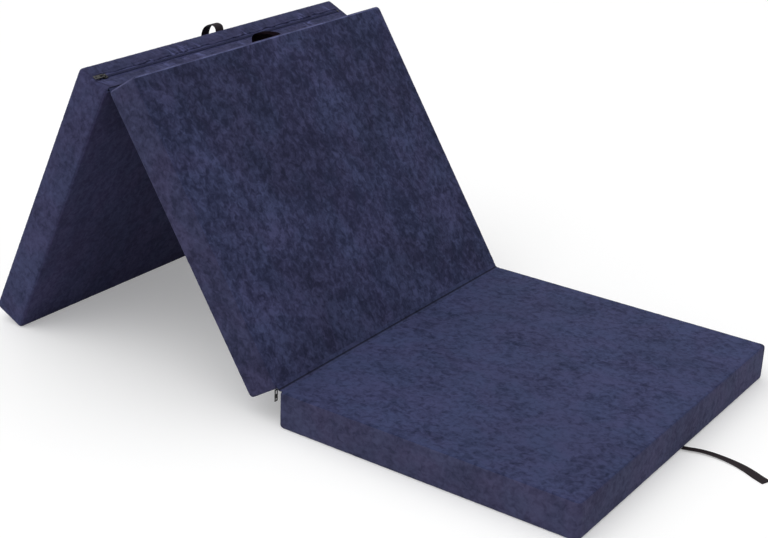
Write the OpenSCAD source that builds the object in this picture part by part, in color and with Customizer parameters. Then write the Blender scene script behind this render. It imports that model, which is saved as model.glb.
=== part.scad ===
// Tri-fold foam mattress, standing as a seat with a leaning back panel and a prop panel behind it.
// Millimetres, +Z up. The origin is on the floor, at the middle of the whole object's footprint.
// Panel 1 lies flat, panel 2 leans back from it, and panel 3 props panel 2 from behind.
// Every panel is drawn in its own frame: u runs from its zip end (0) to its other end, y across
// its width, w from its base (0) to its top. The zip end is the end where panels 1 and 2 meet, and
// on panel 3 the end at the ridge.

/* [Panels] */
// Length of one panel along the fold direction
panel_l = 645; // [400:5:900]
// Width of the mattress
panel_w = 800; // [500:10:1400]
// Thickness of a panel at its edges
panel_t = 76; // [64:1:120]
// Height that a face swells above its edges
crown = 2; // [0.5:0.5:4]
// How far a long side swells out
side_bulge = 2; // [0.5:0.5:4]
// How far an end face swells out
end_bulge = 1; // [0.5:0.1:1.2]
// Radius of the soft edges between faces and sides
edge_r = 6; // [5:0.5:9]
// Radius of the upright corners
corner_r = 10; // [8:1:24]

/* [Covers and foam] */
// Thickness of the cover cloth with its wadding
cover_t = 2; // [1:0.1:3]
// Play between the foam and its cover
foam_play = 0.3; // [0.2:0.1:1]

/* [Hinges] */
// Distance from a panel's end to the plane of its hinge
hinge_gap = 2.5; // [2.1:0.1:4]
// Height of a hinge line above the crown of the faces that fold together
hinge_rise = 0.3; // [0.2:0.1:1]
// Thickness of the sewn hinge tape
hinge_tape_t = 1; // [0.6:0.1:1.2]
// Angle of the leaning back panel above the floor, in degrees
lean = 57; // [45:0.5:60]
// Depth of the flat that the prop panel's foot edge wears against the floor
foot_flat = 0.5; // [0.2:0.1:0.8]

/* [Zips] */
// Width of the opening that shows the zip
zip_open_w = 14; // [13:0.5:18]
// Depth of the zip tape below the end face
zip_depth = 3.4; // [3.2:0.1:4]
// Thickness of the zip tape
zip_tape_t = 1; // [0.6:0.1:1.4]
// Width of the zip's chain of teeth
chain_w = 6; // [4:0.2:6.4]
// Height of the chain above its tape
chain_t = 1.7; // [1.2:0.1:1.8]
// Length of the metal stop at each end of a chain
stop_l = 2.5; // [1.5:0.5:4]
// Distance from the start of a panel's round corner to the end of its zip
zip_end_margin = 4; // [2:1:12]

/* [Sliders] */
// Length of a slider along its zip
slider_l = 12; // [9:0.5:14]
// Width of a slider across its zip
slider_w = 10.5; // [9.5:0.1:11]
// Thickness of a slider's top plate
slider_t = 1.3; // [0.8:0.1:1.3]
// Running clearance between a slider and its zip
slider_play = 0.3; // [0.2:0.05:0.4]
// Distance of the first panel's slider from the end stop
park_1 = 0.4; // [0.3:0.1:20]
// Distance of the second panel's slider from the end stop
park_2 = 16; // [14:0.5:40]
// Distance of the third panel's slider from the end stop
park_3 = 10; // [4:0.5:40]

/* [Pulls] */
// Length of a pull from its pivot to its tip
pull_l = 28; // [20:1:32]
// Width of a pull
pull_w = 9; // [7:0.5:11]
// Thickness of a pull's plate
pull_t = 1.2; // [0.8:0.1:1.4]
// Height of the pull's pivot above the end face
pivot_h = 1.9; // [1.8:0.05:2.2]
// Diameter of the pivot bar on the slider
bar_d = 1.4; // [1:0.1:1.6]
// Running clearance around the pivot bar
bar_play = 0.08; // [0.05:0.01:0.1]
// Wall of the rolled eye around the pivot bar
eye_wall = 0.7; // [0.5:0.05:0.75]
// Length of the rolled eye along the pivot bar
eye_l = 3; // [2:0.5:4]
// Diameter of the round hole at a pull's tip
pull_hole_d = 4; // [2:0.5:5]
// Length of the long hole in a pull
pull_slot_l = 8; // [5:0.5:9]
// Width of the long hole in a pull
pull_slot_w = 4; // [2:0.5:5]

/* [Straps] */
// Width of the webbing
web_w = 25; // [15:1:40]
// Thickness of the webbing
web_t = 1.6; // [1:0.1:1.8]
// Place of the grab loop across the panel, from the middle
loop_y = -40; // [-200:5:200]
// Height of the grab loop above the end face
loop_h = 24; // [12:1:30]
// Distance of the grab loop's feet from the edges of the end face
loop_foot = 7; // [7:1:14]
// Place of the upper strap across the panel, from the middle
upper_y = -10; // [-200:5:200]

/* [Hidden] */

NAVY = [0.20, 0.21, 0.35];
NAVY_SIDE = [0.22, 0.21, 0.33];
FOAM = [0.90, 0.88, 0.78];
TAPE = [0.10, 0.10, 0.18];
TEETH = [0.07, 0.07, 0.12];
METAL = [0.45, 0.45, 0.47];
WEBBING = [0.13, 0.12, 0.13];

$fn = 48;
// A cut reaches this far past the faces that it opens
past = 2;
// Sewn pieces of one body lie this far apart
seam_gap = 0.1;

// The zip is measured from the middle of the end face.
// A stop stands this far from the last tooth, and this far past each side of the chain
stop_away = 0.5;
stop_over = 0.5;
zip_half = panel_w / 2 - corner_r - zip_end_margin;
chain_half = zip_half - stop_l - stop_away;
zip_wall = zip_depth + zip_tape_t;
zip_edge_w = panel_t / 2 + zip_open_w / 2 + 1;

// The hinge lines stand clear of the crowned faces that fold together
axis_out = crown + hinge_rise;
pitch = panel_l + 2 * hinge_gap;
fold_t = panel_t + 2 * axis_out;
hinge_1 = [0, 0, panel_t + axis_out];
hinge_2_flat = [-pitch, 0, -axis_out];
hinge_2_x = -pitch * cos(lean) - fold_t * sin(lean);
hinge_2_z = hinge_1[2] + pitch * sin(lean) - fold_t * cos(lean);

// The prop panel's slope, at which its foot edge stands on the floor
foot_u = hinge_gap + panel_l - edge_r;
foot_w = axis_out + edge_r;
prop = asin((hinge_2_z - edge_r + foot_flat) / norm([foot_u, foot_w])) + atan2(foot_w, foot_u);

// The middle of the footprint, between the rearmost and the foremost edge
REAR_ANGLE = 67.5;
rear_u = foot_u + edge_r * cos(REAR_ANGLE);
rear_w = axis_out + panel_t - edge_r * (1 - sin(REAR_ANGLE));
rear_x = hinge_2_x - rear_u * cos(prop) - rear_w * sin(prop);
front_x = hinge_gap + panel_l + end_bulge * bulge_at(zip_edge_w);
middle_x = (rear_x + front_x) / 2;

// Places of the sliders. The second and third panels are turned half round: their near side is +y.
slider_reach = chain_half - slider_l / 2;
slider_1_y = park_1 - slider_reach;
slider_2_y = slider_reach - park_2;
slider_3_y = slider_reach - park_3;
slider_top_u = zip_depth - chain_t - slider_play - slider_t;

module turned(pivot, angle) {
    translate(pivot) rotate([0, angle, 0]) translate(-pivot) children();
}

module on_panel_1() {
    translate([hinge_gap - middle_x, 0, 0]) children();
}

module on_panel_2() {
    translate([-middle_x, 0, 0])
        turned(hinge_1, lean)
            rotate([0, 0, 180]) translate([hinge_gap, 0, 0]) children();
}

module on_panel_3() {
    translate([-middle_x, 0, 0])
        turned(hinge_1, lean)
            turned(hinge_2_flat, -lean - prop)
                translate([-pitch, 0, 0]) rotate([0, 0, 180]) translate([hinge_gap, 0, 0]) children();
}

// The floor presses the prop panel's foot edge flat
module above_floor() {
    difference() {
        children();
        translate([-2 * pitch, -panel_w, -panel_t]) cube([4 * pitch, 2 * panel_w, panel_t]);
    }
}

// From a panel's top edge at its zip end to its other hinge edges
module at_base_edge() {
    translate([0, 0, panel_t]) mirror([0, 0, 1]) children();
}

module at_far_end() {
    translate([panel_l, 0, 0]) mirror([1, 0, 0]) children();
}

// Plan of a panel: four round corners, with points between them that bow outwards
CORNER_STEPS = 4;
SIDE_POINTS = 6;
END_POINTS = 7;
RING = 4 * (CORNER_STEPS + 1) + 2 * SIDE_POINTS + 2 * END_POINTS;
NO_BOW = [0, 0, 0];

// How much of its swell a side has at height w
function bulge_at(w) = 1 - pow((w - panel_t / 2) / (panel_t / 2 - edge_r), 2);

function corner(c, r, start) = [for (i = [0:CORNER_STEPS])
    let (a = start + 90 * i / CORNER_STEPS) c + r * [cos(a), sin(a)]];

function side(p, q, n, out) = [for (i = [1:n])
    let (t = i / (n + 1)) p + t * (q - p) + 4 * t * (1 - t) * out];

// inset draws three sides in and zip_inset the zip end. bows: the long sides, far end and zip end.
function plan(inset, zip_inset, bows) =
    let (
        r = max(corner_r - inset, 1),
        u0 = zip_inset + r,
        u1 = panel_l - inset - r,
        y1 = panel_w / 2 - inset - r
    )
    concat(
        corner([u1, y1], r, 0),
        side([u1, y1 + r], [u0, y1 + r], SIDE_POINTS, [0, bows[0]]),
        corner([u0, y1], r, 90),
        side([u0 - r, y1], [u0 - r, -y1], END_POINTS, [-bows[2], 0]),
        corner([u0, -y1], r, 180),
        side([u0, -y1 - r], [u1, -y1 - r], SIDE_POINTS, [0, -bows[0]]),
        corner([u1, -y1], r, 270),
        side([u1 + r, -y1], [u1 + r, y1], END_POINTS, [bows[1], 0])
    );

function raised(points, w) = [for (p = points) [p[0], p[1], w]];

// A ring of the round edge: a is 0 on the side and 90 on the face
function edge_ring(a, top) =
    let (inset = edge_r * (1 - cos(a)), w = edge_r * (1 - sin(a)))
    raised(plan(inset, inset, NO_BOW), top ? panel_t - w : w);

// A ring of the swelling side. zip_lobe is the swell of the zip end, where the zip draws it in.
function side_ring(w, zip_lobe) =
    let (swell = bulge_at(w))
    raised(plan(0, 0, [side_bulge * swell, end_bulge * swell, end_bulge * zip_lobe]), w);

// Rings of the crowned face, at the share s of its plan
function crown_ring(s, height, top) = [for (p = plan(edge_r, edge_r, NO_BOW))
    [
        panel_l / 2 + s * (p[0] - panel_l / 2),
        s * p[1],
        top ? panel_t + height * (1 - s * s) : -height * (1 - s * s)
    ]];

// The four rings of a block with chamfered edges, play inside the cover
CHAMFER_SHARE = 0.6;
chamfer = CHAMFER_SHARE * edge_r;
function block_ring(play, w, cut) =
    raised(plan(cover_t + play + cut, zip_wall + play + cut, NO_BOW), w);
function low_ring(play) = block_ring(play, cover_t + play, chamfer);
function low_side_ring(play) = block_ring(play, cover_t + play + chamfer, 0);
function high_side_ring(play) = block_ring(play, panel_t - cover_t - play - chamfer, 0);
function high_ring(play) = block_ring(play, panel_t - cover_t - play, chamfer);

// Triangles between ring i and ring k, and the fans that close a pile of rings
function belt(i, k) = [for (j = [0:RING - 1])
    let (
        a = i * RING + j, b = i * RING + (j + 1) % RING,
        d = k * RING + j, c = k * RING + (j + 1) % RING
    )
    each [[a, d, c], [a, c, b]]];

function fan(i, tip, up) = [for (j = [0:RING - 1])
    let (a = i * RING + j, b = i * RING + (j + 1) % RING) up ? [a, tip, b] : [tip, a, b]];

module ring_loop(rings) {
    n = len(rings);
    polyhedron(
        points = [for (r = rings) each r],
        faces = [for (i = [0:n - 1]) each belt(i, (i + 1) % n)],
        convexity = 6
    );
}

module ring_pile(rings, low_w, high_w) {
    n = len(rings);
    polyhedron(
        points = concat(
            [for (r = rings) each r],
            [[panel_l / 2, 0, low_w], [panel_l / 2, 0, high_w]]
        ),
        faces = concat(
            [for (i = [0:n - 2]) each belt(i, i + 1)],
            fan(0, n * RING, false),
            fan(n - 1, n * RING + 1, true)
        ),
        convexity = 4
    );
}

// The cover: two faces and the band around the sides, sewn along the middle of the round edge
CROWN_STEPS = [0.85, 0.55, 0.25];

module cover_top() {
    ring_pile(
        concat(
            [high_ring(0)],
            [for (a = [45, 67.5, 90]) edge_ring(a, true)],
            [for (s = CROWN_STEPS) crown_ring(s, crown, true)]
        ),
        panel_t - cover_t,
        panel_t + crown
    );
}

module cover_base(height) {
    shares = height > 0 ? CROWN_STEPS : [];
    ring_pile(
        concat(
            [for (i = [len(shares) - 1:-1:0]) crown_ring(shares[i], height, false)],
            [for (a = [90, 67.5, 45]) edge_ring(a, false)],
            [low_ring(0)]
        ),
        -height,
        cover_t
    );
}

module cover_band() {
    difference() {
        ring_loop(concat(
            [for (a = [45, 22.5, 0]) edge_ring(a, false)],
            [
                side_ring(panel_t / 4, 1),
                side_ring(panel_t - zip_edge_w, 0),
                side_ring(zip_edge_w, 0),
                side_ring(panel_t * 3 / 4, 1)
            ],
            [for (a = [0, 22.5, 45]) edge_ring(a, true)],
            [high_ring(0), high_side_ring(0), low_side_ring(0), low_ring(0)]
        ));
        translate([-past, -zip_half, (panel_t - zip_open_w) / 2])
            cube([zip_wall + 2 * past, 2 * zip_half, zip_open_w]);
    }
}

module foam_core() {
    ring_pile(
        [low_ring(foam_play), low_side_ring(foam_play), high_side_ring(foam_play), high_ring(foam_play)],
        cover_t + foam_play,
        panel_t - cover_t - foam_play
    );
}

// The zip lies along the middle of the end face, below its surface
module zip_tape() {
    translate([zip_depth, -zip_half, (panel_t - zip_open_w) / 2])
        cube([zip_tape_t, 2 * zip_half, zip_open_w]);
}

module zip_chain() {
    translate([zip_depth - chain_t, -chain_half, (panel_t - chain_w) / 2])
        cube([chain_t, 2 * chain_half, chain_w]);
}

module zip_stops() {
    stop_w = chain_w + 2 * stop_over;
    for (middle = [-zip_half + stop_l / 2, zip_half - stop_l / 2])
        translate([zip_depth - chain_t, middle - stop_l / 2, (panel_t - stop_w) / 2])
            cube([chain_t, stop_l, stop_w]);
}

// A slider rides over the chain and holds the pull's pivot bar in two posts. The bar lies along
// the zip, or across it. The eye has this much play between the posts.
post_l = 1.4;
eye_play = 0.3;
post_gap = eye_l + 2 * eye_play;

module zip_slider(y, bar_across) {
    flange_in = chain_w / 2 + slider_play;
    translate([0, y, panel_t / 2]) {
        translate([slider_top_u, -slider_l / 2, -slider_w / 2]) cube([slider_t, slider_l, slider_w]);
        for (low = [-slider_w / 2, flange_in])
            translate([slider_top_u + slider_t, -slider_l / 2, low])
                cube([chain_t, slider_l, slider_w / 2 - flange_in]);
        rotate([bar_across ? 90 : 0, 0, 0]) {
            for (low = [-post_gap / 2 - post_l, post_gap / 2])
                translate([-pivot_h, low, -bar_d / 2]) cube([pivot_h + slider_top_u, post_l, bar_d]);
            translate([-pivot_h, -post_gap / 2 - post_l, 0]) rotate([-90, 0, 0])
                cylinder(h = post_gap + 2 * post_l, d = bar_d);
        }
    }
}

// A pull hangs on the bar by its rolled eye. swing lifts it off the end face.
neck_below_eye = 1.5;
slot_below_neck = 2;

module zip_pull(y, bar_across, swing) {
    hole_d = bar_d + 2 * bar_play;
    neck_l = hole_d / 2 + eye_wall + neck_below_eye;
    translate([-pivot_h, y, panel_t / 2])
        rotate([bar_across ? 90 : 0, 0, 0]) rotate([0, swing, 0]) {
            difference() {
                union() {
                    translate([0, eye_l / 2, 0]) rotate([90, 0, 0])
                        cylinder(h = eye_l, d = hole_d + 2 * eye_wall);
                    translate([-pull_t / 2, -eye_l / 2, -neck_l]) cube([pull_t, eye_l, neck_l]);
                }
                translate([0, eye_l, 0]) rotate([90, 0, 0]) cylinder(h = 2 * eye_l, d = hole_d);
            }
            difference() {
                translate([-pull_t / 2, -pull_w / 2, -pull_l]) cube([pull_t, pull_w, pull_l - neck_l]);
                translate([-past, 0, pull_w / 2 - pull_l]) rotate([0, 90, 0])
                    cylinder(h = 2 * past, d = pull_hole_d);
                translate([-past, -pull_slot_w / 2, -neck_l - slot_below_neck - pull_slot_l])
                    cube([2 * past, pull_slot_w, pull_slot_l]);
            }
        }
}

// Half of a hinge tape, from the seam of a panel's edge to just short of the hinge line
module hinge_leaf() {
    seam_in = edge_r * (1 - cos(45));
    seam = [seam_in, panel_t - seam_in] + seam_gap * [-cos(45), sin(45)];
    half = hinge_tape_t / 2 * [cos(45), sin(45)];
    tip = [seam_gap - hinge_gap, panel_t + axis_out - seam_gap];
    thin = hinge_tape_t * sin(45);
    length = panel_w - 2 * corner_r;
    translate([0, length / 2, 0]) rotate([90, 0, 0]) linear_extrude(length)
        polygon([seam - half, seam + half, tip + [thin, 0], tip - [0, thin]]);
}

// Flat webbing swept along a route. Its width stays across the panel, and it bends over its flat.
WEB_SIDES = 8;

function section() =
    let (w = web_w / 2, t = web_t / 2)
    [
        [w, -t / 2], [w, t / 2], [w - t, t], [t - w, t],
        [-w, t / 2], [-w, -t / 2], [t - w, -t], [w - t, -t]
    ];

function heading(route, i) =
    let (d = route[min(i + 1, len(route) - 1)] - route[max(i - 1, 0)]) d / norm(d);

function level(ahead) = let (v = cross(ahead, [0, 1, 0])) v / norm(v);

module webbing(route) {
    n = len(route);
    rings = [for (i = [0:n - 1])
        let (ahead = heading(route, i), up = level(ahead), across = cross(up, ahead))
        [for (s = section()) route[i] + s[0] * across + s[1] * up]];
    polyhedron(
        points = [for (r = rings) each r],
        faces = concat(
            [[for (j = [0:WEB_SIDES - 1]) j]],
            [for (i = [0:n - 2], j = [0:WEB_SIDES - 1])
                let (
                    a = i * WEB_SIDES + j, b = i * WEB_SIDES + (j + 1) % WEB_SIDES,
                    d = a + WEB_SIDES, c = b + WEB_SIDES
                )
                each [[a, d, c], [a, c, b]]],
            [[for (j = [WEB_SIDES - 1:-1:0]) (n - 1) * WEB_SIDES + j]]
        ),
        convexity = 6
    );
}

// The grab loop stands on panel 2's far end face and spans it from one hinge edge towards the
// other. Each point: share of the loop's height, share of its span.
LOOP_SHAPE = [
    [0, 0], [0.16, 0.07], [0.36, 0.18], [0.57, 0.32], [0.76, 0.46], [0.91, 0.59], [0.985, 0.69],
    [1, 0.77], [0.95, 0.85], [0.8, 0.915], [0.55, 0.96], [0.28, 0.985], [0, 1]
];

module loop_of_webbing() {
    span = panel_t - 2 * loop_foot;
    webbing([for (p = LOOP_SHAPE)
        let (w = panel_t - loop_foot - span * p[1])
        [
            panel_l + end_bulge * bulge_at(w) + seam_gap + web_t / 2 + (loop_h - web_t) * p[0],
            loop_y,
            w
        ]]);
}

// The lower strap leaves the base seam at the seat's free end and lies on the floor.
// Each point: distance past the end face, place across, height of its middle.
LOWER_ROUTE = [
    [-1.4, 13, 1.1], [6, 13, 1.1], [14, 15, 1], [24, 19, 0.9], [34, 22, 0.9], [46, 24, 0.9],
    [58, 25, 0.9], [70, 25, 0.9], [82, 24.5, 0.9], [94, 23, 0.9], [106, 21, 0.9], [118, 18, 0.9],
    [130, 14, 0.9], [142, 9, 0.9], [154, 3, 0.9], [166, -2, 0.9], [176, -6, 0.9]
];

// The upper strap leaves the prop panel's ridge seam, stands up in an arch and falls down its back.
// Each point: u along the panel, height above the top face's edge.
UPPER_ROUTE = [
    [1.2, -1.2], [-2.3, 1.6], [-4.6, 5.4], [-4.7, 11], [-2.2, 17.4], [2.4, 22.8], [8.7, 27.2],
    [15.8, 29.8], [23.8, 30.2], [32.1, 28.7], [41, 25.6], [50, 21.6], [59, 17.2], [68, 12.8],
    [77, 8.5], [87, 4.9], [98, 3.1], [109, 2.8], [120, 2.8], [131, 2.8], [142, 2.8], [152, 2.8]
];

module lower_webbing() {
    webbing([for (p = LOWER_ROUTE) [panel_l + p[0], p[1], p[2]]]);
}

module upper_webbing() {
    webbing([for (p = UPPER_ROUTE) [p[0], upper_y, panel_t + p[1]]]);
}

// The sub-parts
module foam_core_1() { color(FOAM) on_panel_1() foam_core(); }
module foam_core_2() { color(FOAM) on_panel_2() foam_core(); }
module foam_core_3() { color(FOAM) on_panel_3() foam_core(); }
module cover_top_1() { color(NAVY) on_panel_1() cover_top(); }
module cover_top_2() { color(NAVY) on_panel_2() cover_top(); }
module cover_top_3() { color(NAVY) on_panel_3() cover_top(); }
module cover_band_1() { color(NAVY_SIDE) on_panel_1() cover_band(); }
module cover_band_2() { color(NAVY_SIDE) on_panel_2() cover_band(); }
module cover_band_3() { color(NAVY_SIDE) above_floor() on_panel_3() cover_band(); }
module cover_base_1() { color(NAVY) on_panel_1() cover_base(0); }
module cover_base_2() { color(NAVY) on_panel_2() cover_base(crown); }
module cover_base_3() { color(NAVY) above_floor() on_panel_3() cover_base(crown); }
module zip_tape_1() { color(TAPE) on_panel_1() zip_tape(); }
module zip_tape_2() { color(TAPE) on_panel_2() zip_tape(); }
module zip_tape_3() { color(TAPE) on_panel_3() zip_tape(); }
module zip_chain_1() { color(TEETH) on_panel_1() zip_chain(); }
module zip_chain_2() { color(TEETH) on_panel_2() zip_chain(); }
module zip_chain_3() { color(TEETH) on_panel_3() zip_chain(); }
module zip_stops_1() { color(METAL) on_panel_1() zip_stops(); }
module zip_stops_2() { color(METAL) on_panel_2() zip_stops(); }
module zip_stops_3() { color(METAL) on_panel_3() zip_stops(); }
module zip_slider_1() { color(METAL) on_panel_1() zip_slider(slider_1_y, false); }
module zip_slider_2() { color(METAL) on_panel_2() zip_slider(slider_2_y, false); }
module zip_slider_3() { color(METAL) on_panel_3() zip_slider(slider_3_y, true); }
module zip_pull_1() { color(METAL) on_panel_1() zip_pull(slider_1_y, false, 0); }
module zip_pull_2() { color(METAL) on_panel_2() zip_pull(slider_2_y, false, lean); }
module zip_pull_3() { color(METAL) on_panel_3() zip_pull(slider_3_y, true, 0); }
module hinge_tape_1_seat() { color(TAPE) on_panel_1() hinge_leaf(); }
module hinge_tape_1_back() { color(TAPE) on_panel_2() hinge_leaf(); }
module hinge_tape_2_back() { color(TAPE) on_panel_2() at_far_end() at_base_edge() hinge_leaf(); }
module hinge_tape_2_prop() { color(TAPE) on_panel_3() at_base_edge() hinge_leaf(); }
module grab_loop() { color(WEBBING) on_panel_2() loop_of_webbing(); }
module closure_strap_lower() { color(WEBBING) on_panel_1() lower_webbing(); }
module closure_strap_upper() { color(WEBBING) on_panel_3() upper_webbing(); }

foam_core_1();
foam_core_2();
foam_core_3();
cover_top_1();
cover_top_2();
cover_top_3();
cover_band_1();
cover_band_2();
cover_band_3();
cover_base_1();
cover_base_2();
cover_base_3();
zip_tape_1();
zip_tape_2();
zip_tape_3();
zip_chain_1();
zip_chain_2();
zip_chain_3();
zip_stops_1();
zip_stops_2();
zip_stops_3();
zip_slider_1();
zip_slider_2();
zip_slider_3();
zip_pull_1();
zip_pull_2();
zip_pull_3();
hinge_tape_1_seat();
hinge_tape_1_back();
hinge_tape_2_back();
hinge_tape_2_prop();
grab_loop();
closure_strap_lower();
closure_strap_upper();
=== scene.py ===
"""Tri-fold foam mattress in a navy velour cover, standing as a floor seat with a propped back.

Metres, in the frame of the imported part. Each panel is built in its own frame: u runs along the
panel from its zip end, y across it, w from its base to its top.
"""

import logging
import math
import sys
from collections.abc import Sequence
from dataclasses import dataclass, field
from enum import Enum

import bmesh
import bpy
import numpy as np
from mathutils import Matrix, Vector


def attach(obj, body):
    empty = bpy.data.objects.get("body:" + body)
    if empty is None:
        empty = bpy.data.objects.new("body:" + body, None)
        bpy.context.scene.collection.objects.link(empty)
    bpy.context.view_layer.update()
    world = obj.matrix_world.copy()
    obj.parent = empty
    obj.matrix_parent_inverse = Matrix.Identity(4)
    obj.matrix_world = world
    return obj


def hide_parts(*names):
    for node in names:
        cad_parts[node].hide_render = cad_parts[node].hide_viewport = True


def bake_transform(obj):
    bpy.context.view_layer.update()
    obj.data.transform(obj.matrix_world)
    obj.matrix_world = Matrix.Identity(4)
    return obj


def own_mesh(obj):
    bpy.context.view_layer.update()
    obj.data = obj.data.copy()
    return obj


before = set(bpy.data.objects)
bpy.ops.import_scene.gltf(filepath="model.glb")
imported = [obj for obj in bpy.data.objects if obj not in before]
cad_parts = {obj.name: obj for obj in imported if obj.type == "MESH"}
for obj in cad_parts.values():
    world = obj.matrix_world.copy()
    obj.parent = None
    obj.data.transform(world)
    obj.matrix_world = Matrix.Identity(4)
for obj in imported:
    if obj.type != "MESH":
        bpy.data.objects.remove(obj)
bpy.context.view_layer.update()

log = logging.getLogger("folding_mattress")

Points = np.ndarray
Faces = list[tuple[int, ...]]
Mesh = tuple[Points, Faces]
Triple = tuple[float, float, float]
Colour = Triple
Sockets = bpy.types.bpy_prop_collection
MM = 0.001


class Face(Enum):
    """The two large faces of a panel."""

    TOP = "top"
    BASE = "base"


# Sizes of the mattress


@dataclass(frozen=True)
class PanelSizes:
    """Sizes of one panel's cover, which all three panels share."""

    length: float = 0.645
    width: float = 0.800
    thickness: float = 0.076
    crown: float = 0.002
    crown_change: float = 0.16
    side_bulge: float = 0.002
    end_bulge: float = 0.001
    edge_r: float = 0.006
    corner_r: float = 0.010
    cloth: float = 0.0019
    seam_depth: float = 0.0008
    seam_reach: float = 0.0013
    pucker: float = 0.25
    pucker_reach: float = 0.009
    grid: float = 0.006
    grid_across: float = 0.004


@dataclass(frozen=True)
class ZipSizes:
    """Sizes of the zip in a panel's end face, and how deep its thread gathers the cloth beside it."""

    half: float = 0.386
    opening: float = 0.014
    lip_width: float = 0.010
    chain_half: float = 0.383
    tooth_pitch: float = 0.0016
    stitch_out: float = 0.013
    stitch_pitch: float = 0.0038
    tuck: float = 0.00045
    tuck_reach: float = 0.0016
    wave: float = 0.0005
    wave_reach: float = 0.005
    pleat: float = 0.0011
    pleat_reach: float = 0.020
    sway: float = 0.0032
    sway_reach: float = 0.007


@dataclass(frozen=True)
class Stand:
    """How the three panels stand: the hinge lines, the slopes and the middle of the footprint."""

    panel: PanelSizes = PanelSizes()
    zip: ZipSizes = ZipSizes()
    hinge_gap: float = 0.0025
    hinge_rise: float = 0.0003
    lean: float = math.radians(57)
    foot_flat: float = 0.0005
    rear_facet: float = 67.5

    @property
    def axis_out(self) -> float:
        """Height of a hinge line above the edges of the faces that fold together."""
        return self.panel.crown + self.hinge_rise

    @property
    def pitch(self) -> float:
        """Distance between two hinge planes."""
        return self.panel.length + 2 * self.hinge_gap

    @property
    def hinge_1(self) -> Vector:
        """The fold between the seat and the back, before the footprint is centred."""
        return Vector((0, 0, self.panel.thickness + self.axis_out))

    @property
    def hinge_2(self) -> Vector:
        """The fold at the ridge, before the footprint is centred.

        Returns:
            A point of the hinge line.
        """
        fold_t = self.panel.thickness + 2 * self.axis_out
        c, s = math.cos(self.lean), math.sin(self.lean)
        return Vector((-self.pitch * c - fold_t * s, 0, self.hinge_1.z + self.pitch * s - fold_t * c))

    @property
    def prop(self) -> float:
        """The prop panel's slope, at which its foot edge stands on the floor.

        Returns:
            The slope in radians.
        """
        r = self.panel.edge_r
        foot_u = self.hinge_gap + self.panel.length - r
        foot_w = self.axis_out + r
        rise = self.hinge_2.z - r + self.foot_flat
        return math.asin(rise / math.hypot(foot_u, foot_w)) + math.atan2(foot_w, foot_u)

    @property
    def middle_x(self) -> float:
        """Middle of the footprint, between the rearmost and the foremost edge.

        Returns:
            Its distance from the first fold, in metres.
        """
        p, r, a = self.panel, self.panel.edge_r, math.radians(self.rear_facet)
        u = self.hinge_gap + p.length - r + r * math.cos(a)
        w = self.axis_out + p.thickness - r * (1 - math.sin(a))
        rear = self.hinge_2.x - u * math.cos(self.prop) - w * math.sin(self.prop)
        zip_edge = self.zip.opening / 2 + MM
        swell = 1 - (zip_edge / (p.thickness / 2 - r)) ** 2
        return (rear + self.hinge_gap + p.length + p.end_bulge * swell) / 2

    def place(self, number: int) -> Matrix:
        """Where a panel's own frame lies.

        Args:
            number: 1 for the seat, 2 for the back, 3 for the prop.

        Returns:
            The panel's matrix in the part's frame.
        """
        centred = Matrix.Translation((-self.middle_x, 0, 0))
        to_end = Matrix.Translation((self.hinge_gap, 0, 0))
        if number == 1:
            return centred @ to_end
        half_turn = Matrix.Rotation(math.pi, 4, "Z")
        leant = centred @ turned(self.hinge_1, self.lean)
        if number == 2:
            return leant @ half_turn @ to_end
        flat_2 = Vector((-self.pitch, 0, -self.axis_out))
        folded = leant @ turned(flat_2, -self.lean - self.prop)
        return folded @ Matrix.Translation((-self.pitch, 0, 0)) @ half_turn @ to_end


def turned(pivot: Vector, angle: float) -> Matrix:
    """A turn by an angle in radians about the line across the mattress through pivot."""
    move = Matrix.Translation(pivot)
    return move @ Matrix.Rotation(angle, 4, "Y") @ move.inverted()


# Meshes


def to_piece(name: str, points: Points, faces: Faces, place: Matrix | None = None) -> bpy.types.Object:
    """Makes a smooth mesh object.

    Args:
        name: Name of the piece.
        points: Its vertices, in metres.
        faces: Its faces.
        place: Matrix of the object, or None for the part's frame.

    Returns:
        The new object.
    """
    mesh = bpy.data.meshes.new(name)
    mesh.from_pydata(np.asarray(points, float).tolist(), [], faces)
    mesh.validate()
    mesh.shade_smooth()
    piece = bpy.data.objects.new(name, mesh)
    bpy.context.scene.collection.objects.link(piece)
    if place is not None:
        piece.matrix_world = place
    return piece


def dress(piece: bpy.types.Object, slot: str, *finishes: bpy.types.Material, nodes: Sequence[str] = (),
          panel: int | None = None) -> None:
    """Gives a piece its finish and its place in the frame.

    Args:
        piece: The piece.
        slot: Not used.
        finishes: Its materials.
        nodes: The solids that it stands for.
        panel: The panel that it moves with, or None where it bends between two.
    """
    for finish in finishes:
        piece.data.materials.append(finish)
    if nodes:
        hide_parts(*nodes)
    if panel is not None:
        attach(piece, f"panel_{panel}")
    log.info("%s: %d points", piece.name, len(piece.data.vertices))


def make_closed(piece: bpy.types.Object, weld: float = 0.0) -> None:
    """Turns all faces of a closed piece outwards.

    Args:
        piece: The piece.
        weld: Distance under which points are joined, or 0 to join none.
    """
    mesh = bmesh.new()
    mesh.from_mesh(piece.data)
    if weld > 0:
        bmesh.ops.remove_doubles(mesh, verts=mesh.verts, dist=weld)
    bmesh.ops.recalc_face_normals(mesh, faces=mesh.faces)
    mesh.to_mesh(piece.data)
    mesh.free()
    piece.data.shade_smooth()


def joined(parts: Sequence[Mesh]) -> Mesh:
    """Several meshes as one.

    Args:
        parts: Points and faces of each.

    Returns:
        All their points, and all their faces.
    """
    faces, count = [], 0
    for points, own in parts:
        faces += [tuple(v + count for v in f) for f in own]
        count += len(points)
    return np.vstack([points for points, _ in parts]), faces


def flipped(faces: Faces) -> Faces:
    """Faces turned the other way."""
    return [f[::-1] for f in faces]


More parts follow.
